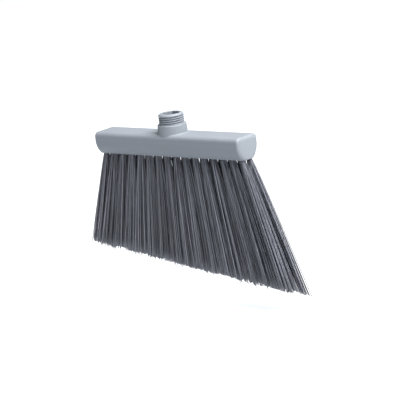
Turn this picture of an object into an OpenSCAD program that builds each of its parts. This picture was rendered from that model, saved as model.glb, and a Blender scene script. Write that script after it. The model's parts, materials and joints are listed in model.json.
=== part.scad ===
/* [Block] */
// Length of the moulded block, end to end
block_len = 214; // [170:1:300]
// Depth of the block, front to back
block_depth = 36; // [32:0.5:50]
// Height of the block, flat sole to flat top
block_height = 26.4; // [20:0.5:40]
// Width of the flat sole that the tufts stand in
sole_width = 19; // [15:0.5:28]
// Height of the curved flank between the sole and the upright wall
flank_height = 17; // [8:0.5:18]
// Radius of the rounded long edges of the top
top_edge_r = 5; // [1.5:0.25:6]
// Radius of the rounded edges at the top and foot of the ends
end_edge_r = 2.5; // [1:0.25:5]
// Radius of the rounded upright corners
corner_r = 4.5; // [1.5:0.25:6]

/* [Handle spigot] */
// Width of the collar's shoulder around the thread
shoulder_width = 2; // [1.5:0.1:5]
// Bevel at the shoulder's rim
shoulder_bevel = 0.7; // [0.2:0.1:1]
// Extra radius that the collar gains on its way down to the block
collar_draft = 0.8; // [0.2:0.1:2]
// Height of the collar above the block
collar_height = 10.3; // [6:0.1:20]
// Outside diameter of the thread
thread_d = 29; // [22:0.25:36]
// Depth of the thread, crest to root
thread_depth = 1.2; // [0.6:0.05:1.3]
// Distance between neighbouring turns
thread_pitch = 2.4; // [2.2:0.1:4]
// Where the thread starts around the spigot, in degrees from the long end of the bristle
thread_start = 180; // [0:5:355]
// Height of the spigot above the collar's shoulder
spigot_height = 12.4; // [9:0.1:20]
// Bevel at the top of the spigot
spigot_bevel = 1.6; // [0.5:0.1:2.2]
// Wall between the corners of the hexagon socket and the thread's root
socket_wall = 2.4; // [1.5:0.1:4]
// Depth of the socket, from the spigot's top
socket_depth = 22; // [12:0.5:23]

/* [Tufts] */
// Tufts in each outer row
tufts_per_row = 16; // [10:1:18]
// Rim of sole left beyond the first and last holes
end_rim = 2.2; // [2:0.1:15]
// Rim of sole left outside the holes of the outer rows
sole_rim = 0.5; // [0.3:0.1:2]
// Diameter of the holes that the tufts are set in
hole_d = 6.8; // [4:0.1:8.5]
// Depth of the holes
hole_depth = 14; // [8:0.5:16]
// Least wall between the holes of neighbouring rows, where they come closest
hole_wall = 0.4; // [0.2:0.1:1]
// Clearance between a tuft and the wall of its hole, on the diameter
tuft_clearance = 0.2; // [0.1:0.05:0.5]
// Diameter of a tuft where it is trimmed, along its own axis
tip_d = 12; // [6:0.1:14]
// Lean of the first tufts towards the short end, in degrees
lean_short = 14; // [0:0.5:18]
// Lean of the last tufts towards the long end, in degrees
lean_long = 18; // [0:0.5:24]
// Lean of the outer rows away from the middle row, in degrees
row_lean = 2.5; // [1:0.25:5]

/* [Trim] */
// Length of bristle below the block, under the handle
trim_length = 130.5; // [60:0.5:180]
// Slope of the trimmed tips down towards the long end, in degrees
trim_angle = 7.4; // [0:0.2:12]
// Slope of the trimmed tips down towards the back, in degrees
trim_tilt = 22; // [0:0.5:25]

/* [Anchors] */
// Thickness of the flat anchor that holds each tuft
anchor_thickness = 0.5; // [0.3:0.05:0.8]
// Height of the anchor, along its tuft
anchor_height = 1.8; // [1:0.1:3]
// How far each end of the anchor bites into the wall of its hole
anchor_bite = 0.6; // [0.3:0.05:1]
// Depth of the fold of bristle over the anchor
fold_depth = 0.8; // [0.4:0.1:2]

/* [Hidden] */

smooth = 96;
cut_over = 1;

// Levels: the collar's shoulder is z = 0.
block_top = -collar_height;
sole_z = block_top - block_height;

// Rows of holes: an outer row stands off as the sole allows, or farther where wide holes need it.
row_half = block_len / 2 - end_rim - hole_d / 2;
tuft_pitch = 2 * row_half / (tufts_per_row - 1);
lean_step = (lean_short + lean_long) / (tufts_per_row - 1) / 2;
hole_reach = hole_d / cos(max(lean_short, lean_long)) + hole_wall;
root_beside = tuft_pitch / 2 - hole_depth * tan(lean_step);
root_across = sqrt(max(0, hole_reach * hole_reach - root_beside * root_beside));
row_needed = root_across + hole_depth * tan(row_lean);
row_offset = max(sole_width / 2 - sole_rim - hole_d / 2, row_needed);
sole_half = row_offset + hole_d / 2 + sole_rim;

// Flank: an arc that leaves the upright wall square and ends at the sole's edge.
half_depth = block_depth / 2;
flank_run = half_depth - sole_half;
flank_r = (flank_run * flank_run + flank_height * flank_height) / (2 * flank_run);
halves_lap = 1;

// Spigot: everything round follows the thread, from the shoulder out and from the root in.
crest_r = thread_d / 2;
root_r = crest_r - thread_depth;
collar_r = crest_r + shoulder_width;
socket_corner_r = root_r - socket_wall;
spigot_sunk = 1;

// Thread: flat crests and roots with sloping flanks between, and a groove that runs out at both ends.
crest_land = 0.8;
root_land = 0.8;
flank_slope = (thread_pitch - crest_land - root_land) / 2 / thread_depth;
groove_over = 0.3;
groove_start = 0.9;
groove_runout = 12;
groove_lift = 0.9 * thread_depth;
groove_facets = 36;
groove_end = spigot_height - spigot_bevel;
groove_steps = ceil((groove_end - groove_start) / thread_pitch * groove_facets);

// Tufts: two outer rows in line, and a middle row half a pitch aside.
tuft_d = hole_d - tuft_clearance;
root_gap = 0.2;
colour_block = [0.62, 0.66, 0.71];
colour_bristle = [0.3, 0.31, 0.34];
colour_steel = [0.75, 0.75, 0.77];

// Rows: name, place across the block, lean away from the middle, tufts, first place in pitches.
ROWS = [
  ["front", -1, tufts_per_row, 0],
  ["middle", 0, tufts_per_row - 1, 0.5],
  ["back", 1, tufts_per_row, 0]
];

function two_digits(i) = i < 10 ? str("0", i) : str(i);
function row_name(row, i) = str("tuft_", row, "_", two_digits(i));
function place_x(row, i) = -row_half + (i - 1 + row[3]) * tuft_pitch;
function lean(x) = -lean_short + (lean_short + lean_long) * (x + row_half) / (2 * row_half);

// A rectangle about the origin with round corners.
module rounded(size, r) {
  union() {
    square([size[0] - 2 * r, size[1]], center = true);
    square([size[0], size[1] - 2 * r], center = true);
    for (sx = [-1, 1], sy = [-1, 1])
      translate([sx * (size[0] / 2 - r), sy * (size[1] / 2 - r)]) circle(r, $fn = smooth);
  }
}

// Section of the block across its length: upright walls, rounded top edges, arcs down to the sole.
module block_section() {
  intersection() {
    rounded([block_depth, 2 * block_height], top_edge_r);
    union() {
      translate([-half_depth, flank_height]) square([block_depth, block_height]);
      for (side = [0, 1]) mirror([side, 0]) intersection() {
        translate([half_depth - flank_r, flank_height]) circle(flank_r, $fn = smooth);
        translate([-halves_lap, -flank_height]) square([block_depth, 2 * flank_height]);
      }
    }
    translate([-half_depth, 0]) square([block_depth, block_height]);
  }
}

// The block: its long section, its end view and its plan, all at once.
module block_body() {
  translate([0, 0, sole_z]) intersection() {
    rotate([90, 0, 90]) linear_extrude(block_len, center = true) block_section();
    translate([0, 0, block_height / 2]) rotate([90, 0, 0])
      linear_extrude(2 * block_depth, center = true) rounded([block_len, block_height], end_edge_r);
    linear_extrude(block_height + cut_over) rounded([block_len, block_depth], corner_r);
  }
}

// Collar: a drafted drum that runs down past the block's rounded edge, kept within the block's depth.
module collar() {
  foot_z = block_top - top_edge_r;
  intersection() {
    rotate_extrude($fn = smooth) polygon([
      [0, foot_z],
      [collar_r + collar_draft, foot_z],
      [collar_r, -shoulder_bevel],
      [collar_r - shoulder_bevel, 0],
      [0, 0]
    ]);
    translate([-block_depth, -half_depth, foot_z]) cube([2 * block_depth, block_depth, -foot_z]);
  }
}

// One station of the helical groove: a trapezium that opens outwards and lifts away at its ends.
function groove_station(i) =
  let (
    turn = thread_start + 360 * i / groove_facets,
    rise = groove_start + thread_pitch * i / groove_facets,
    lift = groove_lift * max(0, 1 - i / groove_runout, 1 - (groove_steps - i) / groove_runout),
    mouth = root_land / 2 + flank_slope * (thread_depth + groove_over),
    inner = root_r + lift,
    outer = crest_r + groove_over + lift
  )
  [for (p = [[inner, -root_land / 2], [inner, root_land / 2], [outer, mouth], [outer, -mouth]])
    [p[0] * cos(turn), p[0] * sin(turn), rise + p[1]]];

// The groove that leaves the thread standing, wound around the spigot up to its bevel.
module thread_groove() {
  last = 4 * groove_steps;
  points = [for (i = [0:groove_steps]) each groove_station(i)];
  sides = [for (i = [0:groove_steps - 1], j = [0:3])
    let (a = 4 * i + j, b = 4 * i + (j + 1) % 4)
    each [[a, a + 4, b + 4], [a, b + 4, b]]];
  polyhedron(points, concat([[0, 1, 2, 3]], sides, [[last + 3, last + 2, last + 1, last]]));
}

// The threaded stub that the handle's nut screws onto.
module spigot() {
  difference() {
    rotate_extrude($fn = smooth) polygon([
      [0, -spigot_sunk],
      [crest_r, -spigot_sunk],
      [crest_r, spigot_height - spigot_bevel],
      [crest_r - spigot_bevel, spigot_height],
      [0, spigot_height]
    ]);
    thread_groove();
  }
}

// The socket for the handle's hexagon tongue, with corners on the X axis.
module hex_socket() {
  translate([0, 0, spigot_height - socket_depth])
    cylinder(h = socket_depth + cut_over, r = socket_corner_r, $fn = 6);
}

// Puts its children at a tuft's hole, with -Z down the tuft and z = 0 at the sole.
module at_tuft(row, i) {
  x = place_x(row, i);
  translate([x, row[1] * row_offset, sole_z])
    rotate([row[1] * row_lean, -lean(x), 0]) children();
}

// A flat anchor across a tuft's hole, under the fold of the bristle; its ends bite into the block.
module anchor(grow = 0) {
  translate([0, 0, hole_depth - fold_depth - anchor_height / 2])
    cube([hole_d + 2 * anchor_bite, anchor_thickness + grow, anchor_height + grow], center = true);
}

// A hole starts a diameter below the sole, so that its slanted mouth is cut clean.
module tuft_hole() {
  translate([0, 0, -hole_d]) cylinder(h = hole_d + hole_depth, d = hole_d, $fn = smooth);
}

module all_tufts() {
  for (row = ROWS, i = [1:row[2]]) at_tuft(row, i) children();
}

module block() {
  color(colour_block) difference() {
    union() {
      block_body();
      collar();
      spigot();
    }
    hex_socket();
    all_tufts() tuft_hole();
    all_tufts() anchor();
  }
}

module anchors() {
  color(colour_steel) all_tufts() anchor();
}

// Everything below the slanted plane that the tips are trimmed to.
module trimmed_away() {
  reach = trim_length + block_len;
  translate([0, 0, sole_z - trim_length]) rotate([-trim_tilt, trim_angle, 0])
    translate([-reach, -reach, -reach]) cube([2 * reach, 2 * reach, reach]);
}

// One tuft: a straight root in its hole and a cone of bristle below the sole, notched for its anchor.
module tuft(row, i) {
  reach = trim_length + block_len * sin(trim_angle) + block_depth;
  spread = (tip_d - tuft_d) / trim_length;
  root = hole_depth - root_gap;
  color(colour_bristle) difference() {
    at_tuft(row, i) difference() {
      union() {
        translate([0, 0, -hole_d]) cylinder(h = hole_d + root, d = tuft_d, $fn = smooth);
        translate([0, 0, -reach])
          cylinder(h = reach, d1 = tuft_d + spread * reach, d2 = tuft_d, $fn = smooth);
      }
      anchor(tuft_clearance);
    }
    trimmed_away();
  }
}

block();
anchors();
for (row = ROWS, i = [1:row[2]])
  tuft(row, i);
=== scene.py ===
"""An angled broom head: a moulded block with a threaded spigot, and fanned tufts of bristle.

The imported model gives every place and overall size. This script makes the moulding, the
threaded spigot and each tuft's filaments as fine meshes, gives every piece its finish, and
sets up the camera, the lights and the floor.
"""

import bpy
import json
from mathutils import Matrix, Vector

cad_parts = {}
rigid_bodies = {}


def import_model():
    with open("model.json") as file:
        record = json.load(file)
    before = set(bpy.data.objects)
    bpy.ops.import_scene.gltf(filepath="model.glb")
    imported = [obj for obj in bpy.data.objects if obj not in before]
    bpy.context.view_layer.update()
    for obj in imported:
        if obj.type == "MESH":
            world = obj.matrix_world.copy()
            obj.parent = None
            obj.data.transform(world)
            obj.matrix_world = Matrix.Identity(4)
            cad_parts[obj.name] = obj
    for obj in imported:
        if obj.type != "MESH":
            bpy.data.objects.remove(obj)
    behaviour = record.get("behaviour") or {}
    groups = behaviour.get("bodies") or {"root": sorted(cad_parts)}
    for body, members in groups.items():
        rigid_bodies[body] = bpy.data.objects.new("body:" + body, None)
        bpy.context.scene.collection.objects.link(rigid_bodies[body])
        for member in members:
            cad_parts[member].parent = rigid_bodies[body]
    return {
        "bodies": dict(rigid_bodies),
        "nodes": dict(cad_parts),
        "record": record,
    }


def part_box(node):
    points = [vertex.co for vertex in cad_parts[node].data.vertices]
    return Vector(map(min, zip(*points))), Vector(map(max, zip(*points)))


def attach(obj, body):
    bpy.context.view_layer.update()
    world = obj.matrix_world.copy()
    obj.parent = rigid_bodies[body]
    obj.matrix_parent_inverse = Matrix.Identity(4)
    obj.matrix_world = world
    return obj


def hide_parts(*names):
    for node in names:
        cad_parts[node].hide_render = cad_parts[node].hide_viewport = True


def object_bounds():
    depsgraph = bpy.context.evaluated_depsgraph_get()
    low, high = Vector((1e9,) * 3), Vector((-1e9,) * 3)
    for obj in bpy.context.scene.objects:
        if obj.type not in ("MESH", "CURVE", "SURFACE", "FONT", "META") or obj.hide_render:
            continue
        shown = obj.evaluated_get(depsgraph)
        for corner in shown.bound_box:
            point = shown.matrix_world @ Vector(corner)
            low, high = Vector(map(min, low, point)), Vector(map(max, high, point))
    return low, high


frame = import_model()
CAD_LOW, CAD_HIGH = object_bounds()
BODY = next(iter(frame["bodies"]))

import json
import logging
import math
from dataclasses import dataclass, field
from enum import Enum
from typing import Callable, Sequence

import bpy
import numpy as np
from mathutils import Matrix, Vector

LOG = logging.getLogger("broom_head")

MM = 0.001
GOLDEN_TURN = 0.6180339887
TOP_SHARE = 0.04
FOOT_SHARE = 0.12

Array = np.ndarray
Field = Callable[[Array], Array]


# ---------------------------------------------------------------------------------------
# Shader building
# ---------------------------------------------------------------------------------------


class Channel:
    """A shader output of one value, used in Python arithmetic."""

    def __init__(self, tree: bpy.types.NodeTree, socket: bpy.types.NodeSocket) -> None:
        """Wraps a socket.

        Args:
            tree: the node tree that the socket is in.
            socket: the output socket that holds the value.
        """
        self.tree = tree
        self.socket = socket

    def _math(self, operation: str, first: "Channel | float", second: "Channel | float") -> "Channel":
        """Adds one Math node.

        Args:
            operation: the Math node's operation.
            first: its first value.
            second: its second value.

        Returns:
            The node's result.
        """
        node = self.tree.nodes.new("ShaderNodeMath")
        node.operation = operation
        for place, value in enumerate((first, second)):
            if isinstance(value, Channel):
                self.tree.links.new(value.socket, node.inputs[place])
            else:
                node.inputs[place].default_value = value
        return Channel(self.tree, node.outputs[0])

    def __add__(self, other: "Channel | float") -> "Channel":
        """Sum."""
        return self._math("ADD", self, other)

    def __radd__(self, other: float) -> "Channel":
        """Sum with a number on the left."""
        return self._math("ADD", other, self)

    def __sub__(self, other: "Channel | float") -> "Channel":
        """Difference."""
        return self._math("SUBTRACT", self, other)

    def __rsub__(self, other: float) -> "Channel":
        """Difference from a number on the left."""
        return self._math("SUBTRACT", other, self)

    def __mul__(self, other: "Channel | float") -> "Channel":
        """Product."""
        return self._math("MULTIPLY", self, other)

    def __rmul__(self, other: float) -> "Channel":
        """Product with a number on the left."""
        return self._math("MULTIPLY", other, self)

    def __pow__(self, other: "Channel | float") -> "Channel":
        """Power."""
        return self._math("POWER", self, other)

    def clamped(self) -> "Channel":
        """The value kept between 0 and 1."""
        return self._math("MINIMUM", self._math("MAXIMUM", self, 0.0), 1.0)


class Sketch:
    """One node tree, of a material or the world, and the one method that adds its nodes."""

    def __init__(self, owner: bpy.types.Material | bpy.types.World) -> None:
        """Starts an empty node tree.

        Args:
            owner: the material or world that the tree belongs to.
        """
        self.owner = owner
        owner.use_nodes = True
        self.tree = owner.node_tree
        self.tree.nodes.clear()

    @classmethod
    def of_material(cls, name: str) -> "Sketch":
        """Starts an empty material of this name."""
        return cls(bpy.data.materials.new(name))

    def node(self, kind: str, settings: dict | None = None, values: dict | None = None) -> bpy.types.Node:
        """Adds a node, sets it up and feeds its sockets.

        Args:
            kind: the node's type, without "ShaderNode".
            settings: properties to set first.
            values: socket name or number to a value, a Channel or another socket.

        Returns:
            The new node.
        """
        made = self.tree.nodes.new("ShaderNode" + kind)
        for key, value in (settings or {}).items():
            setattr(made, key, value)
        for key, value in (values or {}).items():
            if isinstance(value, Channel):
                self.tree.links.new(value.socket, made.inputs[key])
            elif isinstance(value, bpy.types.NodeSocket):
                self.tree.links.new(value, made.inputs[key])
            else:
                made.inputs[key].default_value = value
        return made

    def value(self, node: bpy.types.Node, output: str | int = 0) -> Channel:
        """One output of a node as a value for arithmetic."""
        return Channel(self.tree, node.outputs[output])

    def noise(self, scale: float, detail: float, stretch: tuple = (1.0, 1.0, 1.0)) -> Channel:
        """Noise in the piece's own coordinates.

        Args:
            scale: bumps per metre.
            detail: octaves.
            stretch: how much the coordinates are multiplied along each axis.

        Returns:
            A value around one half.
        """
        place = self.node("TexCoord")
        mapping = self.node("Mapping", values={"Vector": place.outputs["Object"], "Scale": stretch})
        values = {"Vector": mapping.outputs[0], "Scale": scale, "Detail": detail}
        return self.value(self.node("TexNoise", values=values), "Fac")

    def mixed(self, factor: Channel | float, first: tuple | bpy.types.NodeSocket,
              second: tuple | bpy.types.NodeSocket) -> bpy.types.NodeSocket:
        """A colour between two others.

        Args:
            factor: 0 for the first colour, 1 for the second.
            first: a colour or a colour socket.
            second: a colour or a colour socket.

        Returns:
            The colour socket.
        """
        made = self.node("Mix", {"data_type": "RGBA"}, {0: factor, 6: first, 7: second})
        return made.outputs[2]

    def finish(self, shader: bpy.types.Node, output: str = "OutputMaterial") -> bpy.types.ID:
        """Links the shader to the output and returns the material or world."""
        self.node(output, values={"Surface": shader.outputs[0]})
        return self.owner


def opaque(red: float, green: float, blue: float) -> tuple[float, float, float, float]:
    """A colour with full alpha."""
    return red, green, blue, 1.0


# ---------------------------------------------------------------------------------------
# Finishes
# ---------------------------------------------------------------------------------------


@dataclass(frozen=True)
class MouldedPlastic:
    """Blue-grey polypropylene with the fine spark-eroded skin of its mould."""

    pale: tuple = opaque(0.184, 0.206, 0.236)
    deep: tuple = opaque(0.166, 0.186, 0.214)
    roughness: float = 0.54
    roughness_play: float = 0.10
    refraction: float = 1.49
    specular: float = 0.4
    cloud_scale: float = 38.0
    cloud_stretch: tuple = (0.4, 1.0, 1.0)
    cloud_weight: float = 1.4
    speckle_scale: float = 2600.0
    speckle_weight: float = 0.35
    grain_scale: float = 1500.0
    grain_depth: float = 0.035 * MM

    def material(self) -> bpy.types.Material:
        """Makes the material.

        Returns:
            The block's plastic, with soft clouds of colour, specks of pigment and a grain.
        """
        sketch = Sketch.of_material("moulded_plastic")
        clouds = sketch.noise(self.cloud_scale, 3.0, self.cloud_stretch)
        specks = sketch.noise(self.speckle_scale, 1.0)
        grain = sketch.noise(self.grain_scale, 2.0)
        blotches = (clouds - 0.5) * self.cloud_weight + (specks - 0.5) * self.speckle_weight
        colour = sketch.mixed((blotches + 0.5).clamped(), self.deep, self.pale)
        rough = (grain - 0.5) * self.roughness_play + (clouds - 0.5) * self.roughness_play + self.roughness
        bump = sketch.node("Bump", values={"Height": grain, "Distance": self.grain_depth})
        shader = sketch.node("BsdfPrincipled", values={
            "Base Color": colour, "Roughness": rough, "Normal": bump.outputs[0],
            "IOR": self.refraction, "Specular IOR Level": self.specular,
        })
        return sketch.finish(shader)


@dataclass(frozen=True)
class BristlePlastic:
    """Dark grey drawn filament: each one a little lighter or darker, and scuffed at its tip."""

    dark: tuple = opaque(0.020, 0.023, 0.032)
    light: tuple = opaque(0.228, 0.240, 0.286)
    scuffed: tuple = opaque(0.185, 0.193, 0.226)
    roughness: float = 0.36
    roughness_play: float = 0.20
    refraction: float = 1.55
    least_tone: float = 0.12
    filament_weight: float = 0.8
    filament_power: float = 1.6
    streak_weight: float = 0.8
    streak_scale: float = 420.0
    streak_stretch: tuple = (1.0, 1.0, 0.06)
    scuff_length: float = 9 * MM
    scuff_least: float = 0.1
    scuff_play: float = 0.4
    scuff_roughness: float = 0.2

    def material(self, trim: "TrimPlane") -> bpy.types.Material:
        """Makes the material.

        Args:
            trim: the plane that the tips are cut to, where the scuffing is.

        Returns:
            The bristle's plastic.
        """
        sketch = Sketch.of_material("bristle_plastic")
        filament = sketch.value(sketch.node("NewGeometry"), "Random Per Island")
        streaks = sketch.noise(self.streak_scale, 2.0, self.streak_stretch)
        own_tone = filament ** self.filament_power * self.filament_weight
        tone = (own_tone + (streaks - 0.5) * self.streak_weight + self.least_tone).clamped()
        place = sketch.node("SeparateXYZ", values={0: sketch.node("TexCoord").outputs["Object"]})
        east, north, up = (sketch.value(place, axis) for axis in "XYZ")
        height = up - (trim.height + trim.along * east + trim.back * north)
        near_tip = (1.0 - height * (1 / self.scuff_length)).clamped()
        scuffs = near_tip * (self.scuff_least + self.scuff_play * filament)
        colour = sketch.mixed(scuffs, sketch.mixed(tone, self.dark, self.light), self.scuffed)
        rough = (streaks - 0.5) * self.roughness_play + scuffs * self.scuff_roughness + self.roughness
        values = {"Base Color": colour, "Roughness": rough, "IOR": self.refraction}
        shader = sketch.node("BsdfPrincipled", values=values)
        return sketch.finish(shader)


@dataclass(frozen=True)
class SteelStrip:
    """Bare galvanised strip, drawn along its length."""

    bright: tuple = opaque(0.66, 0.66, 0.68)
    dull: tuple = opaque(0.45, 0.46, 0.48)
    roughness: float = 0.32
    roughness_play: float = 0.2
    line_scale: float = 900.0
    line_stretch: tuple = (0.05, 1.0, 1.0)
    line_depth: float = 0.01 * MM

    def material(self) -> bpy.types.Material:
        """Makes the material.

        Returns:
            The anchors' steel, with drawing lines along X.
        """
        sketch = Sketch.of_material("steel_strip")
        lines = sketch.noise(self.line_scale, 3.0, self.line_stretch)
        colour = sketch.mixed(lines, self.dull, self.bright)
        bump = sketch.node("Bump", values={"Height": lines, "Distance": self.line_depth})
        shader = sketch.node("BsdfPrincipled", values={
            "Base Color": colour, "Roughness": lines * self.roughness_play + self.roughness,
            "Normal": bump.outputs[0], "Metallic": 1.0,
        })
        return sketch.finish(shader)


@dataclass(frozen=True)
class PaleFloor:
    """A plain white sweep that glows a little, as a lit table does."""

    colour: tuple = opaque(0.2, 0.2, 0.2)
    tint: tuple = opaque(0.92, 0.96, 1.0)
    glow: float = 0.97
    roughness: float = 0.9

    def material(self) -> bpy.types.Material:
        """Makes the material.

        Returns:
            The floor's white.
        """
        sketch = Sketch.of_material("pale_floor")
        shader = sketch.node("BsdfPrincipled", values={
            "Base Color": self.colour, "Roughness": self.roughness,
            "Emission Color": self.tint, "Emission Strength": self.glow,
        })
        return sketch.finish(shader)


# ---------------------------------------------------------------------------------------
# Solid modelling with distance fields, in millimetres
# ---------------------------------------------------------------------------------------


def round_meet(first: Array, second: Array, radius: float) -> Array:
    """Where two solids overlap, with the edge between them rounded.

    Args:
        first: distance to the first solid, negative inside.
        second: distance to the second.
        radius: radius of the edge.

    Returns:
        Distance to the overlap.
    """
    corner = np.hypot(np.maximum(first + radius, 0), np.maximum(second + radius, 0))
    return np.minimum(-radius, np.maximum(first, second)) + corner


def round_join(first: Array, second: Array, radius: float) -> Array:
    """Two solids joined, with a fillet between them.

    Args:
        first: distance to the first solid, negative inside.
        second: distance to the second.
        radius: radius of the fillet.

    Returns:
        Distance to the two together.
    """
    return -round_meet(-first, -second, radius)


def hexagon(points: Array, apothem: float) -> Array:
    """Distance to a hexagon prism along Z with corners on the X axis.

    Args:
        points: places, one row each.
        apothem: half the width across the flats.

    Returns:
        Distance, negative inside.
    """
    across = np.abs(points[:, 1])
    for turn in (60.0, 120.0):
        angle = math.radians(turn)
        normal = points[:, 0] * -math.sin(angle) + points[:, 1] * math.cos(angle)
        across = np.maximum(across, np.abs(normal))
    return across - apothem


@dataclass
class Skin:
    """The skin of a solid given as a distance field, as a mesh of small quads."""

    shape: Field
    low: Array
    high: Array
    step: float
    slab: int = 12
    spare: int = 3
    rounds: int = 3
    least_slope: float = 0.05

    def _sampled(self) -> tuple[Array, Array]:
        """Values of the field on a grid over the box.

        Returns:
            The grid's values and the place of its first corner.
        """
        counts = np.ceil((self.high - self.low) / self.step).astype(int) + self.spare
        start = self.low - self.step
        axes = [start[k] + self.step * np.arange(counts[k]) for k in range(3)]
        values = np.empty(counts, np.float32)
        for first in range(0, counts[0], self.slab):
            across = axes[0][first:first + self.slab]
            grid = np.stack(np.meshgrid(across, axes[1], axes[2], indexing="ij"), -1)
            values[first:first + self.slab] = self.shape(grid.reshape(-1, 3)).reshape(grid.shape[:3])
        return values, start

    def _cell_points(self, values: Array, start: Array) -> tuple[Array, Array]:
        """One point in each cell that the skin passes through.

        Args:
            values: the sampled field.
            start: the grid's first corner.

        Returns:
            The number of each cell's point, or -1, and the points.
        """
        inside = values < 0
        cut = [slice(0, -1), slice(1, None)]
        corners = [(i, j, k) for i in (0, 1) for j in (0, 1) for k in (0, 1)]
        filled = sum(inside[cut[i], cut[j], cut[k]].astype(np.int8) for i, j, k in corners)
        cells = np.argwhere((filled > 0) & (filled < len(corners)))
        total, crossings = np.zeros((len(cells), 3)), np.zeros(len(cells))
        for a in corners:
            for axis in range(3):
                if a[axis]:
                    continue
                b = tuple(c + (k == axis) for k, c in enumerate(a))
                at_a = values[tuple((cells + a).T)].astype(float)
                at_b = values[tuple((cells + b).T)].astype(float)
                crossed = (at_a < 0) != (at_b < 0)
                share = np.where(crossed, at_a / np.where(crossed, at_a - at_b, 1.0), 0.0)
                place = cells + np.array(a, float)
                place[:, axis] += share
                total += place * crossed[:, None]
                crossings += crossed
        number = np.full(filled.shape, -1, np.int64)
        number[tuple(cells.T)] = np.arange(len(cells))
        return number, start + self.step * total / crossings[:, None]

    @staticmethod
    def _faces(values: Array, number: Array) -> Array:
        """A quad around each grid edge that the skin crosses, facing out.

        Args:
            values: the sampled field.
            number: the number of each cell's point.

        Returns:
            The quads.
        """
        inside, quads = values < 0, []
        for axis in range(3):
            one, two = (axis + 1) % 3, (axis + 2) % 3
            low = np.take(inside, range(inside.shape[axis] - 1), axis)
            high = np.take(inside, range(1, inside.shape[axis]), axis)
            edges = np.argwhere(low != high)
            edges = edges[(edges[:, one] > 0) & (edges[:, two] > 0)]
            step_one, step_two = np.eye(3, dtype=int)[one], np.eye(3, dtype=int)[two]
            around = [edges - step_one - step_two, edges - step_two, edges, edges - step_one]
            ring = np.stack([number[tuple(cell.T)] for cell in around], 1)
            leaving = low[tuple(edges.T)]
            quads.append(np.where(leaving[:, None], ring, ring[:, ::-1]))
        return np.concatenate(quads)

    def _settled(self, points: Array) -> Array:
        """Points moved onto the true skin along the field's slope.

        Args:
            points: points near the skin.

        Returns:
            The moved points.
        """
        reach, delta = 0.5 * self.step, 0.05 * self.step
        start = points.copy()
        for _ in range(self.rounds):
            here = self.shape(points)
            slope = np.empty_like(points)
            for axis in range(3):
                aside = np.zeros(3)
                aside[axis] = delta
                slope[:, axis] = (self.shape(points + aside) - self.shape(points - aside)) / (2 * delta)
            size = np.maximum((slope ** 2).sum(1), self.least_slope)
            points = points - slope * (here / size)[:, None]
            points = start + np.clip(points - start, -reach, reach)
        return points

    def mesh(self, name: str) -> bpy.types.Mesh:
        """Builds the mesh, in metres.

        Args:
            name: the mesh's name.

        Returns:
            A closed mesh with smooth shading.
        """
        values, start = self._sampled()
        number, points = self._cell_points(values, start)
        quads = self._faces(values, number)
        return quad_mesh(name, self._settled(points) * MM, quads)


def quad_mesh(name: str, points: Array, quads: Array, caps: Sequence[Sequence[int]] = ()) -> bpy.types.Mesh:
    """A smooth mesh from arrays.

    Args:
        name: the mesh's name.
        points: its vertices, in metres.
        quads: its four-sided faces.
        caps: faces of other sizes.

    Returns:
        The mesh.
    """
    mesh = bpy.data.meshes.new(name)
    faces = quads.tolist() + [list(cap) for cap in caps]
    mesh.from_pydata(points.tolist(), [], faces)
    mesh.polygons.foreach_set("use_smooth", np.ones(len(faces), bool))
    mesh.update()
    return mesh


def add_piece(name: str, mesh: bpy.types.Mesh, finish: bpy.types.Material,
              stands_for: Sequence[str]) -> bpy.types.Object:
    """Puts a finished piece in the scene, on the head.

    Args:
        name: the piece's name.
        mesh: its mesh.
        finish: its material.
        stands_for: the CAD nodes that it replaces.

    Returns:
        The new object.
    """
    piece = bpy.data.objects.new(name, mesh)
    mesh.materials.append(finish)
    bpy.context.scene.collection.objects.link(piece)
    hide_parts(*stands_for)
    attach(piece, BODY)
    LOG.info("%s: %d faces", name, len(mesh.polygons))
    return piece


# ---------------------------------------------------------------------------------------
# The head's parts
# ---------------------------------------------------------------------------------------


class Row(Enum):
    """The three rows of tufts, by the word in their nodes' names."""

    FRONT = "front"
    MIDDLE = "middle"
    BACK = "back"


@dataclass
class TrimPlane:
    """The slanted plane that the tips are cut to: its height under the spigot and its slopes."""

    height: float
    along: float
    back: float

    @classmethod
    def through(cls, points: Array) -> "TrimPlane":
        """The plane through some points.

        Args:
            points: places on it, one row each.

        Returns:
            The plane.
        """
        sides = np.column_stack([np.ones(len(points)), points[:, :2]])
        height, along, back = np.linalg.lstsq(sides, points[:, 2], rcond=None)[0]
        return cls(float(height), float(along), float(back))

    def over(self, points: Array) -> Array:
        """How far each of some points is above the plane, straight up."""
        return points[:, 2] - self.height - self.along * points[:, 0] - self.back * points[:, 1]

    def closing(self, way: Array) -> float:
        """How much nearer the plane each metre along a way comes."""
        return self.along * way[0] + self.back * way[1] - way[2]


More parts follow.
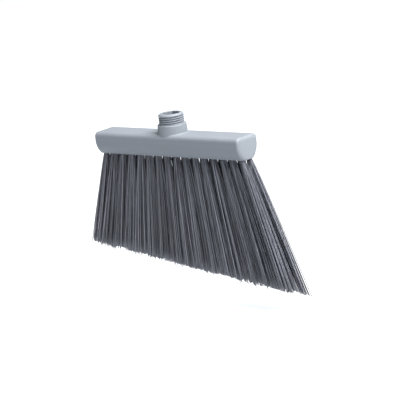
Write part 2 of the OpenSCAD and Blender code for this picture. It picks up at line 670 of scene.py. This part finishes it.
@dataclass
class TuftAxis:
    """Where one tuft lies: its hole's mouth, its way down and its lowest point, in metres."""

    node: str
    row: Row
    mouth: Vector
    down: Vector
    fold: float
    lowest: Vector

    @classmethod
    def from_node(cls, node: str, row: Row, sole: float) -> "TuftAxis":
        """Reads a tuft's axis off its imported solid.

        Args:
            node: the tuft's node.
            row: its row.
            sole: the height of the block's sole.

        Returns:
            The axis.
        """
        solid = frame["nodes"][node]
        found = np.array([solid.matrix_world @ v.co for v in solid.data.vertices])
        top, bottom = cls._end(found, True), cls._end(found, False)
        down = Vector(bottom - top).normalized()
        root = Vector(top)
        mouth = root + down * ((sole - root.z) / down.z)
        return cls(node, row, mouth, down, (root - mouth).length, Vector(found[found[:, 2].argmin()]))

    @staticmethod
    def _end(points: Array, top: bool) -> Array:
        """The centre of one end of a tuft's solid: flat at the top, slanted at the foot.

        Args:
            points: its vertices.
            top: whether the upper end is wanted.

        Returns:
            The middle of the end's own box.
        """
        height = points[:, 2]
        if top:
            chosen = points[height > height.max() - TOP_SHARE * np.ptp(height)]
        else:
            chosen = points[height < height.min() + FOOT_SHARE * np.ptp(height)]
        return (chosen.min(0) + chosen.max(0)) / 2


@dataclass
class BlockMoulding:
    """The block with its collar, hexagon socket and tuft holes. Sizes are in millimetres."""

    low: Array
    high: Array
    holes: list[TuftAxis]
    collar_height: float = 10.3
    collar_draft: float = 0.8
    collar_sunk: float = 1.5
    shoulder_width: float = 2.0
    sole_width: float = 19.0
    flank_height: float = 17.0
    edge: Array = field(default_factory=lambda: np.array([2.8, 5.4, 5.4]))
    foot_edge: float = 0.5
    rim_edge: float = 0.7
    foot_fillet: float = 0.3
    socket_wall: float = 2.4
    thread_depth: float = 1.2
    socket_depth: float = 22.0
    socket_edge: float = 0.4
    socket_floor_edge: float = 0.6
    hole_r: float = 3.4
    hole_depth: float = 14.0
    hole_edge: float = 0.35
    hole_window: tuple = (10.0, 7.0, 3.0)
    far: float = 50.0
    headroom: float = 0.5
    step: float = 0.66

    def __post_init__(self) -> None:
        """Works out what follows from the sizes."""
        self.crest_r = mount_radius("handle_thread")
        self.collar_r = self.crest_r + self.shoulder_width
        self.half = (self.high - self.low) / 2
        self.sole_z = self.low[2]
        self.top_z = -self.collar_height
        run = self.half[1] - self.sole_width / 2
        self.flank_r = (run ** 2 + self.flank_height ** 2) / (2 * run)
        self.apothem = (self.crest_r - self.thread_depth - self.socket_wall) * math.cos(math.pi / 6)

    def _body(self, p: Array) -> Array:
        """The long block, with curved flanks and rounded edges.

        Args:
            p: places.

        Returns:
            Distance to it.
        """
        over_sole = p[:, 2] - self.sole_z
        upright = np.abs(p[:, 1]) - self.half[1]
        centre = self.half[1] - self.flank_r
        arc = np.hypot(np.abs(p[:, 1]) - centre, over_sole - self.flank_height) - self.flank_r
        side = np.where(over_sole < self.flank_height, arc, upright)
        walls = np.stack([np.abs(p[:, 0]) - self.half[0], side, p[:, 2] - self.top_z], 1)
        rounded = np.linalg.norm(np.maximum(walls + self.edge, 0) / self.edge, axis=1) - 1
        return round_meet(rounded * self.edge.min(), -over_sole, self.foot_edge)

    def _collar(self, p: Array) -> Array:
        """The drafted drum around the foot of the spigot.

        Args:
            p: places.

        Returns:
            Distance to it.
        """
        slope = self.collar_draft / (self.collar_height + self.edge[2])
        drum = np.hypot(p[:, 0], p[:, 1]) - self.collar_r + slope * p[:, 2]
        drum = np.maximum(drum, self.top_z - self.edge[2] - self.collar_sunk - p[:, 2])
        return round_meet(drum, p[:, 2], self.rim_edge)

    def _socket(self, p: Array) -> Array:
        """The hexagon socket.

        Args:
            p: places.

        Returns:
            Distance to the hollow.
        """
        floor = self.high[2] - self.socket_depth
        return round_meet(hexagon(p, self.apothem), floor - p[:, 2], self.socket_floor_edge)

    def _holes(self, p: Array) -> Array:
        """All the tuft holes, each worked out only inside its own window of places.

        Args:
            p: places.

        Returns:
            Distance to the nearest hole.
        """
        nearest = np.full(len(p), self.far)
        wide, deep, over = self.hole_window
        near_sole = p[:, 2] < self.sole_z + self.hole_depth + over
        for hole in self.holes:
            mouth = np.array(hole.mouth) / MM
            way = np.array(hole.down)
            beside = (np.abs(p[:, 0] - mouth[0]) < wide) & (np.abs(p[:, 1] - mouth[1]) < deep)
            picked = np.flatnonzero(near_sole & beside)
            if len(picked):
                offset = p[picked] - mouth
                along = offset @ way
                aside = np.linalg.norm(offset - along[:, None] * way, axis=1) - self.hole_r
                tube = np.maximum(aside, -along - self.hole_depth)
                nearest[picked] = np.minimum(nearest[picked], tube)
        return nearest

    def shape(self, p: Array) -> Array:
        """The whole moulding below the shoulder.

        Args:
            p: places, in millimetres.

        Returns:
            Distance to it, negative inside.
        """
        solid = round_join(self._body(p), self._collar(p), self.foot_fillet)
        solid = round_meet(solid, -self._socket(p), self.socket_edge)
        return round_meet(solid, -self._holes(p), self.hole_edge)

    def build(self, finish: bpy.types.Material) -> bpy.types.Object:
        """Makes the block piece.

        Args:
            finish: its plastic.

        Returns:
            The piece.
        """
        high = self.high.copy()
        high[2] = self.headroom
        mesh = Skin(self.shape, self.low, high, self.step).mesh("block_moulding")
        return add_piece("block_moulding", mesh, finish, ["block"])


@dataclass
class ThreadedSpigot:
    """The hollow threaded spigot above the collar's shoulder. Sizes are in millimetres."""

    top: float
    apothem: float
    thread_depth: float = 1.2
    pitch: float = 2.4
    crest_land: float = 0.8
    root_land: float = 0.8
    groove_start: float = 0.9
    thread_start: float = 0.5
    runout_turns: float = 0.33
    bevel: float = 1.6
    sunk: float = 0.8
    rim_edge: float = 0.5
    step: float = 0.2

    def __post_init__(self) -> None:
        """Works out what follows from the sizes."""
        self.crest_r = mount_radius("handle_thread")
        self.flank = (self.pitch - self.crest_land - self.root_land) / 2

    def _groove(self, p: Array) -> Array:
        """How deep the thread's groove is at each place's angle and height.

        Args:
            p: places.

        Returns:
            Depth below the crests.
        """
        turns = (np.arctan2(p[:, 1], p[:, 0]) / (2 * math.pi) - self.thread_start) % 1.0
        steps = (p[:, 2] - self.groove_start) / self.pitch - turns
        nearest = np.maximum(np.round(steps), 0)
        aside = np.abs(steps - nearest) * self.pitch
        deep = np.clip((self.root_land / 2 + self.flank - aside) / self.flank, 0, 1)
        wound = nearest + turns
        length = (self.top - self.bevel - self.groove_start) / self.pitch
        ends = np.clip(np.minimum(wound, length - wound) / self.runout_turns, 0, 1)
        return self.thread_depth * deep * ends

    def shape(self, p: Array) -> Array:
        """The spigot with its thread, top bevel and socket.

        Args:
            p: places, in millimetres.

        Returns:
            Distance to it, negative inside.
        """
        radius = np.hypot(p[:, 0], p[:, 1])
        slant = self.flank / math.hypot(self.flank, self.thread_depth)
        skin = (radius - self.crest_r + self._groove(p)) * slant
        cone = (radius + p[:, 2] - self.crest_r - self.top + self.bevel) * math.sqrt(0.5)
        solid = round_meet(np.maximum(skin, cone), p[:, 2] - self.top, self.rim_edge)
        solid = np.maximum(solid, -self.sunk - p[:, 2])
        return round_meet(solid, -hexagon(p, self.apothem), self.rim_edge)

    def build(self, finish: bpy.types.Material) -> bpy.types.Object:
        """Makes the spigot piece.

        Args:
            finish: its plastic.

        Returns:
            The piece.
        """
        reach = np.array([self.crest_r, self.crest_r])
        low, high = np.append(-reach, -self.sunk), np.append(reach, self.top)
        mesh = Skin(self.shape, low, high, self.step).mesh("threaded_spigot")
        return add_piece("threaded_spigot", mesh, finish, ["block"])


@dataclass
class Tuft:
    """One tuft: filaments folded over their anchor, packed in the hole, fanned to the trim."""

    axis: TuftAxis
    trim: TrimPlane
    seed: int
    outward: float = 1.0
    # The filaments, and the stations along each leg as shares of its length.
    filaments: int = 28
    radius: float = 0.41 * MM
    sides: int = 6
    stations: tuple = (-0.045, 0.0, 0.06, 0.16, 0.3, 0.46, 0.64, 0.82, 1.0)
    # In the hole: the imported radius, and the layers that fold over the anchor, as shares
    # aside, up the hole and of the layers' own height.
    packed: float = 3.0 * MM
    layers: int = 3
    layer_gap: float = 0.75 * MM
    pinch: float = 0.9
    fold_arc: tuple = ((0.55, 0.80, 0.4), (0.0, 0.93, 1.0), (-0.55, 0.80, 0.4))
    # Below the block: how far and how soon the legs fan out, and how they stray and bow.
    splay: tuple = (9.0 * MM, 6.7 * MM)
    opening: float = 0.58
    scatter: float = 1.5 * MM
    stray_share: float = 0.12
    stray_reach: float = 1.3178
    bow: float = 0.5 * MM
    bow_turn: float = 0.8 * math.pi
    # At the trim: legs that end short or a little proud, and the few that the shears missed.
    short: float = 2.8 * MM
    proud: float = 0.5 * MM
    uneven: float = 1.3 * MM
    missed_share: float = 0.05
    missed_by: tuple = (1.0 * MM, 3.4 * MM)

    def _frame(self) -> tuple[Array, Array, Array, Array]:
        """The tuft's mouth and its own axes.

        Returns:
            The mouth, the way down, and the two ways across.
        """
        down = np.array(self.axis.down)
        across = np.array([1.0, 0.0, 0.0])
        across -= (across @ down) * down
        across /= np.linalg.norm(across)
        return np.array(self.axis.mouth), down, across, np.cross(down, across)

    def _feet(self, chance: np.random.Generator) -> Array:
        """Where the first legs stand in the mouth: half a disc, evenly packed.

        Args:
            chance: the tuft's own random numbers.

        Returns:
            Places across the mouth, one row each, on the far side of the anchor.
        """
        order = (np.arange(self.filaments) + 0.5) / self.filaments
        reach = self.packed * np.sqrt(order)
        turn = math.pi * ((np.arange(self.filaments) * GOLDEN_TURN + chance.random()) % 1.0)
        return np.stack([reach * np.cos(turn), reach * np.sin(turn)], 1)

    def _leg(self, feet: Array, chance: np.random.Generator) -> Array:
        """The lower run of every filament, from the hole down to its tip.

        Args:
            feet: where each stands in the mouth.
            chance: the tuft's own random numbers.

        Returns:
            Points, by filament and station, the hole first.
        """
        mouth, down, across, along = self._frame()
        wide = feet / self.packed * np.array(self.splay)
        wide[:, 0] *= np.where(wide[:, 0] * down[0] > 0, self.outward, 1.0)
        tips = wide + chance.normal(0.0, self.scatter, feet.shape)
        bows = chance.normal(0.0, self.bow, feet.shape)
        tips *= np.where(chance.random(len(feet)) < self.stray_share, self.stray_reach, 1.0)[:, None]
        ends = self._trimmed(tips, chance)
        stations = np.array(self.stations)
        run = stations[None, :] * ends[:, None]
        ease = np.clip(stations, 0, 1) ** self.opening
        bend = np.sin(np.clip(stations, 0, 1) * self.bow_turn)
        aside = feet[:, None, :] * (1 - ease)[None, :, None] + tips[:, None, :] * ease[None, :, None]
        aside = aside + bows[:, None, :] * bend[None, :, None]
        return mouth + run[..., None] * down + aside[..., :1] * across + aside[..., 1:] * along

    def _trimmed(self, tips: Array, chance: np.random.Generator) -> Array:
        """How far down its axis each filament ends.

        Args:
            tips: each tip's place across the tuft.
            chance: the tuft's own random numbers.

        Returns:
            Lengths down the axis.
        """
        mouth, down, across, along = self._frame()
        start = mouth + tips[:, :1] * across + tips[:, 1:] * along
        reach = self.trim.over(start) / self.trim.closing(down)
        worn = np.abs(chance.normal(0.0, self.short, len(tips))) - self.proud
        missed = chance.random(len(tips)) < self.missed_share
        extra = np.where(missed, chance.uniform(*self.missed_by, len(tips)), 0.0)
        return reach - worn + extra + chance.normal(0.0, self.uneven)

    def paths(self) -> Array:
        """Every filament's centre line, from one tip over the anchor to the other.

        Returns:
            Points, by filament and station.
        """
        chance = np.random.default_rng(self.seed)
        mouth, down, across, along = self._frame()
        feet = self._feet(chance)
        one = self._leg(feet, chance)
        two = self._leg(feet * np.array([1.0, -1.0]), chance)
        layer = (np.arange(self.filaments) % self.layers) * self.layer_gap
        top_layer = (self.layers - 1) * self.layer_gap
        fold = []
        for side, rise, lift in self.fold_arc:
            height = self.axis.fold * rise + layer * lift - top_layer
            place = mouth - height[:, None] * down + feet[:, :1] * self.pinch * across
            fold.append(place + side * (self.radius * 2 + layer)[:, None] * along)
        return np.concatenate([one[:, ::-1], np.stack(fold, 1), two], 1)

    def mesh(self) -> bpy.types.Mesh:
        """Sweeps a round section along every filament.

        Returns:
            The tuft's mesh, one closed island a filament.
        """
        lines = self.paths()
        _, _, across, _ = self._frame()
        tangent = np.gradient(lines, axis=1)
        tangent /= np.linalg.norm(tangent, axis=2, keepdims=True)
        first = across - (tangent @ across)[..., None] * tangent
        first /= np.linalg.norm(first, axis=2, keepdims=True)
        second = np.cross(tangent, first)
        turn = 2 * math.pi * np.arange(self.sides) / self.sides
        ring = np.cos(turn)[:, None] * first[:, :, None, :] + np.sin(turn)[:, None] * second[:, :, None, :]
        points = (lines[:, :, None, :] + self.radius * ring).reshape(-1, 3)
        count, stations = lines.shape[:2]
        index = np.arange(count * stations * self.sides).reshape(count, stations, self.sides)
        turned = np.roll(index, -1, axis=2)
        quads = np.stack([index[:, :-1], turned[:, :-1], turned[:, 1:], index[:, 1:]], -1).reshape(-1, 4)
        caps = [row[::-1].tolist() for row in index[:, 0]] + [row.tolist() for row in index[:, -1]]
        return quad_mesh(self.axis.node + "_bristle", points, quads, caps)

    def build(self, finish: bpy.types.Material) -> bpy.types.Object:
        """Makes the tuft piece.

        Args:
            finish: its plastic.

        Returns:
            The piece.
        """
        name = self.axis.node.replace("tuft", "bristle")
        return add_piece(name, self.mesh(), finish, [self.axis.node])


@dataclass
class Brush:
    """All the tufts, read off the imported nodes."""

    sole: float
    end_calm: float = 0.7
    tufts: list[TuftAxis] = field(default_factory=list)

    def __post_init__(self) -> None:
        """Finds each tuft's axis."""
        for row in Row:
            names = sorted(n for n in frame["nodes"] if n.startswith(f"tuft_{row.value}_"))
            self.tufts += [TuftAxis.from_node(name, row, self.sole) for name in names]

    def trim_plane(self) -> TrimPlane:
        """The plane that the tips are cut to, through every tuft's lowest point."""
        return TrimPlane.through(np.array([tuft.lowest for tuft in self.tufts]))

    def build(self, finish: BristlePlastic) -> None:
        """Makes every tuft.

        Args:
            finish: the bristle's finish.
        """
        trim = self.trim_plane()
        material = finish.material(trim)
        limits = {row: [t.mouth.x for t in self.tufts if t.row is row] for row in Row}
        for seed, axis in enumerate(self.tufts):
            at_end = axis.mouth.x in (min(limits[axis.row]), max(limits[axis.row]))
            outward = self.end_calm if at_end else 1.0
            Tuft(axis, trim, seed, outward).build(material)


@dataclass
class Anchors:
    """The flat steel anchors, kept as packed."""

    node: str = "anchors"

    def dress(self, finish: SteelStrip) -> None:
        """Gives the anchors their steel.

        Args:
            finish: the steel.
        """
        solid = frame["nodes"][self.node]
        solid.data.materials.clear()
        solid.data.materials.append(finish.material())
        LOG.info("%s: dressed", self.node)


def mount_radius(name: str) -> float:
    """A round mount's radius, from the record.

    Args:
        name: the mount's name.

    Returns:
        The radius, in millimetres.
    """
    return next(m["dims"]["r_mm"] for m in frame["record"]["mounts"] if m["name"] == name)


# ---------------------------------------------------------------------------------------
# Camera, lights and floor
# ---------------------------------------------------------------------------------------


def way_out(azimuth: float, elevation: float) -> Vector:
    """The way from the head to something that stands round it.

    Args:
        azimuth: degrees round from the front, towards the long end.
        elevation: degrees above level.

    Returns:
        A vector one metre long.
    """
    turn, rise = math.radians(azimuth), math.radians(elevation)
    return Vector((math.sin(turn) * math.cos(rise), -math.cos(turn) * math.cos(rise), math.sin(rise)))


@dataclass
class CameraView:
    """A long lens from the front right, a little above, with the head tilted in the frame."""

    azimuth: float = 41.05
    elevation: float = 13.05
    roll: float = 6.7
    lens: float = 165.6
    sensor: float = 36.0
    distance: float = 2.0892
    nearest: float = 0.1
    farthest: float = 60.0
    aim: tuple = (0.02147, 0.00795, -0.09004)

    def place(self) -> bpy.types.Object:
        """Makes the scene's camera.

        Returns:
            The camera.
        """
        turn, lean = math.radians(self.azimuth), math.radians(self.roll)
        back = way_out(self.azimuth, self.elevation)
        right = Vector((math.cos(turn), math.sin(turn), 0.0))
        up = back.cross(right)
        right, up = (right * math.cos(lean) - up * math.sin(lean),
                     right * math.sin(lean) + up * math.cos(lean))
        data = bpy.data.cameras.new("view")
        data.lens, data.sensor_width = self.lens, self.sensor
        data.clip_start, data.clip_end = self.nearest, self.farthest
        camera = bpy.data.objects.new("view", data)
        where = Vector(self.aim) + back * self.distance
        camera.matrix_world = Matrix.Translation(where) @ Matrix((right, up, back)).transposed().to_4x4()
        bpy.context.scene.collection.objects.link(camera)
        bpy.context.scene.camera = camera
        LOG.info("camera: %.2f m away", self.distance)
        return camera


@dataclass(frozen=True)
class SoftLamp:
    """A square soft box: where it stands round the head, its size and its power."""

    name: str
    azimuth: float
    elevation: float
    distance: float
    size: float
    power: float
    tint: tuple = (1.0, 1.0, 1.0)

    def place(self, target: Vector) -> None:
        """Makes the lamp, facing the head.

        Args:
            target: what it faces.
        """
        back = way_out(self.azimuth, self.elevation)
        data = bpy.data.lights.new(self.name, "AREA")
        data.size, data.energy, data.color = self.size, self.power, self.tint
        lamp = bpy.data.objects.new(self.name, data)
        lamp.location = target + back * self.distance
        lamp.rotation_euler = back.to_track_quat("Z", "Y").to_euler()
        bpy.context.scene.collection.objects.link(lamp)


@dataclass
class Studio:
    """The white floor, the soft lamp and the pale surroundings."""

    low: Vector
    high: Vector
    floor_gap: float = 0.012
    floor_size: float = 30.0
    surround: tuple = opaque(0.90, 0.95, 1.0)
    overhead: float = 0.13
    horizon: float = 1.0
    horizon_top: float = 0.20
    horizon_fade: float = 0.5
    key: SoftLamp = SoftLamp("key", 95.0, 60.0, 2.2, 2.2, 213.0, (1.0, 0.972, 0.945))

    def _floor(self) -> None:
        """Lays the floor a little below the longest tips."""
        half = self.floor_size / 2
        level = self.low.z - self.floor_gap
        signs = ((-1, -1), (1, -1), (1, 1), (-1, 1))
        corners = np.array([[half * east, half * north, level] for east, north in signs])
        mesh = quad_mesh("floor", corners, np.array([[0, 1, 2, 3]]))
        mesh.materials.append(PaleFloor().material())
        floor = bpy.data.objects.new("floor", mesh)
        bpy.context.scene.collection.objects.link(floor)

    def _surroundings(self) -> None:
        """Gives the scene its pale light from all round, brightest along the horizon."""
        sketch = Sketch(bpy.data.worlds.new("surroundings"))
        way = sketch.node("SeparateXYZ", values={0: sketch.node("TexCoord").outputs["Generated"]})
        height = (sketch.value(way, "Z") * (1 / self.horizon_top)).clamped() ** self.horizon_fade
        low = sketch.node("Background", values={"Color": self.surround, "Strength": self.horizon})
        high = sketch.node("Background", values={"Color": self.surround, "Strength": self.overhead})
        mix = sketch.node("MixShader", values={0: height, 1: low.outputs[0], 2: high.outputs[0]})
        bpy.context.scene.world = sketch.finish(mix, "OutputWorld")

    def build(self) -> None:
        """Sets up everything around the head."""
        self._floor()
        self._surroundings()
        self.key.place((self.low + self.high) / 2)
        scene = bpy.context.scene
        scene.view_settings.view_transform = "Standard"
        scene.view_settings.look = "None"
        LOG.info("studio: floor and lamp in place")


def main() -> None:
    """Builds the camera, the studio and every piece of the head."""
    logging.basicConfig(level=logging.INFO, format="%(name)s: %(message)s")
    CameraView().place()
    Studio(CAD_LOW, CAD_HIGH).build()
    low, high = (np.array(corner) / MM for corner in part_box("block"))
    brush = Brush(low[2] * MM)
    plastic = MouldedPlastic().material()
    block = BlockMoulding(low, high, brush.tufts)
    block.build(plastic)
    ThreadedSpigot(high[2], block.apothem).build(plastic)
    brush.build(BristlePlastic())
    Anchors().dress(SteelStrip())


if __name__ == "__main__":
    main()
